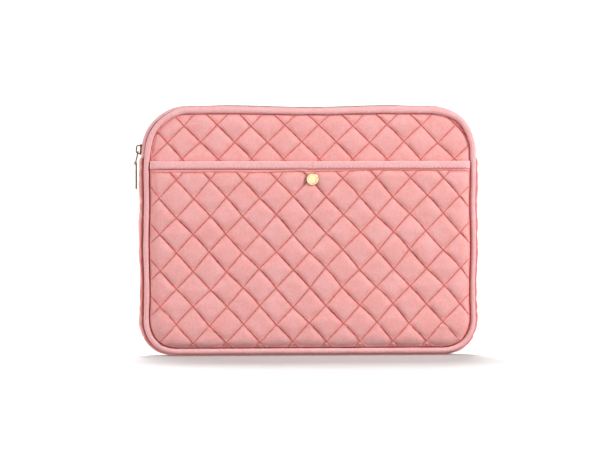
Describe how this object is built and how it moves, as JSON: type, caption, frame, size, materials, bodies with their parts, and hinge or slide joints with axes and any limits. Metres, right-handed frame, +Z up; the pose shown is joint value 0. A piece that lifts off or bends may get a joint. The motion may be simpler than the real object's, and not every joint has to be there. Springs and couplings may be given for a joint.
{
  "type": "laptop sleeve",
  "caption": "Padded quilted velvet laptop sleeve with a zipped top mouth, piped edges and a front slip pocket closed by a snap.",
  "frame": {"origin": "on the floor, under the middle of the sleeve's width and of the laptop space", "axes": "+Z up to the zipped mouth, +X across the width with the parked slider at -X, front with the pocket faces -Y"},
  "size_m": [0.3478, 0.0338, 0.2521],
  "materials": {
    "quilted_velvet": "short-pile velvet",
    "trim_velvet": "short-pile velvet, smooth",
    "lining_cloth": "fine plain weave",
    "foam_core": "soft sheet foam",
    "filler_cord": "twisted cotton",
    "zip_tape": "woven tape",
    "zip_teeth": "antique brass",
    "zip_hardware": "polished antique brass",
    "snap_metal": "polished pale gold"
  },
  "bodies": {
    "sleeve_body": {"front_velvet": "quilted_velvet", "front_foam": "foam_core", "front_lining": "lining_cloth", "back_velvet": "quilted_velvet", "back_foam": "foam_core", "back_lining": "lining_cloth", "front_piping": "trim_velvet", "front_piping_cord": "filler_cord", "back_piping": "trim_velvet", "back_piping_cord": "filler_cord", "gusset_velvet_left": "quilted_velvet", "gusset_velvet_left_corner": "quilted_velvet", "gusset_velvet_bottom": "quilted_velvet", "gusset_velvet_right_corner": "quilted_velvet", "gusset_velvet_right": "quilted_velvet", "gusset_foam": "foam_core", "gusset_lining_left": "lining_cloth", "gusset_lining_left_corner": "lining_cloth", "gusset_lining_bottom": "lining_cloth", "gusset_lining_right_corner": "lining_cloth", "gusset_lining_right": "lining_cloth", "back_zip_teeth": "zip_teeth", "back_zip_tape": "zip_tape", "back_zip_strip": "trim_velvet", "front_zip_teeth_ends": "zip_teeth", "front_zip_tape_ends": "zip_tape", "front_zip_strip_ends": "trim_velvet", "zip_end_stops": "zip_teeth", "snap_stud": "snap_metal", "stud_rivet": "snap_metal"},
    "mouth_flap": {"mouth_velvet": "quilted_velvet", "mouth_foam": "foam_core", "mouth_lining": "lining_cloth", "mouth_piping": "trim_velvet", "mouth_piping_cord": "filler_cord", "mouth_zip_teeth": "zip_teeth", "mouth_zip_tape": "zip_tape", "mouth_zip_strip": "trim_velvet"},
    "pocket": {"pocket_velvet": "quilted_velvet", "pocket_foam": "foam_core", "pocket_lining": "lining_cloth", "pocket_binding": "trim_velvet", "snap_cap": "snap_metal", "snap_socket": "snap_metal"},
    "zip_slider": {"slider_body": "zip_hardware", "slider_bridge": "zip_hardware"},
    "pull_link": {"pull_link": "zip_hardware"},
    "pull_tag": {"pull_tag": "zip_hardware"}
  },
  "joints": [
    {"name": "mouth_fold", "type": "hinge", "parent": "sleeve_body", "child": "mouth_flap", "pos_m": [0, -0.0133, 0.2142], "axis": [1, 0, 0], "range_deg": [0, 38], "stiffness_Nm_per_rad": 0.05, "springref_deg": -2.86},
    {"name": "pocket_pull", "type": "hinge", "parent": "sleeve_body", "child": "pocket", "pos_m": [0, -0.0171, 0.0084], "axis": [1, 0, 0], "range_deg": [0, 8], "stiffness_Nm_per_rad": 1, "springref_deg": -2.86},
    {"name": "slider_travel", "type": "hinge", "parent": "sleeve_body", "child": "zip_slider", "pos_m": [-0.122, 0, 0.2052], "axis": [0, 1, 0], "range_deg": [0, 89]},
    {"name": "link_swing", "type": "hinge", "parent": "zip_slider", "child": "pull_link", "pos_m": [-0.17225, 0, 0.20588], "axis": [0, 1, 0], "range_deg": [0, 130]},
    {"name": "tag_swing", "type": "hinge", "parent": "pull_link", "child": "pull_tag", "pos_m": [-0.1749, 0, 0.1942], "axis": [0, 1, 0], "range_deg": [0, 50]}
  ]
}
